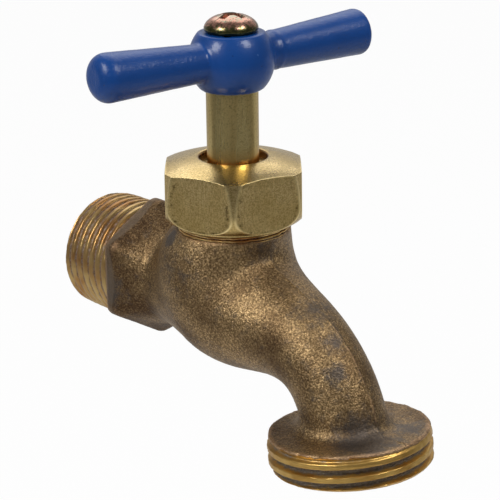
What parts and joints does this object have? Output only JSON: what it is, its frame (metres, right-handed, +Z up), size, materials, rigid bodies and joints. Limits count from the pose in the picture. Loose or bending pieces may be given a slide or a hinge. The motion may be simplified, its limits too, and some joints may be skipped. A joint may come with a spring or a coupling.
{
  "type": "hose bibb tap",
  "caption": "Wall-mounted brass hose tap with a rising stem, a tee handle, a threaded inlet with a wrench plate and a down-turned spout with a threaded hose collar.",
  "frame": {"origin": "centre of the inlet's end face, on the inlet thread's axis", "axes": "+Y along the inlet's axis into the wall, so the tap reaches out towards -Y; +Z up, along the stem; X across"},
  "size_m": [0.0532, 0.0756, 0.0713],
  "materials": {
    "cast_bronze": "rough sand-cast bronze, machined bright on the threads",
    "nut_brass": "satin milled brass",
    "stem_brass": "turned brass, smooth",
    "blue_enamel": "glossy blue enamel on a casting",
    "screw_plating": "zinc with a yellow iridescent passivation",
    "packing": "graphited cord, matt",
    "washer_rubber": "matt black rubber",
    "spring_steel": "bare spring wire"
  },
  "bodies": {
    "body": {"valve_body": "cast_bronze", "packing_nut": "nut_brass", "packing_washer": "nut_brass", "packing_ring_lower": "packing", "packing_ring_upper": "packing", "gland": "nut_brass"},
    "disc": {"disc_holder": "stem_brass", "swivel_clip": "spring_steel", "seat_washer": "washer_rubber", "bibb_screw": "stem_brass"},
    "stem": {"stem": "stem_brass", "handle": "blue_enamel", "handle_screw": "screw_plating"}
  },
  "joints": [
    {"name": "stem_lift", "type": "slide", "parent": "body", "child": "disc", "axis": [0, 0, 1], "range_m": [0, 0.005]},
    {"name": "handle_turn", "type": "hinge", "parent": "disc", "child": "stem", "pos_m": [0, -0.0342, 0], "axis": [0, 0, 1], "range_deg": [0, 900]}
  ],
  "couplings": [
    {"joint": "stem_lift", "follows": "handle_turn", "m_per_rad": 0.0003183}
  ]
}
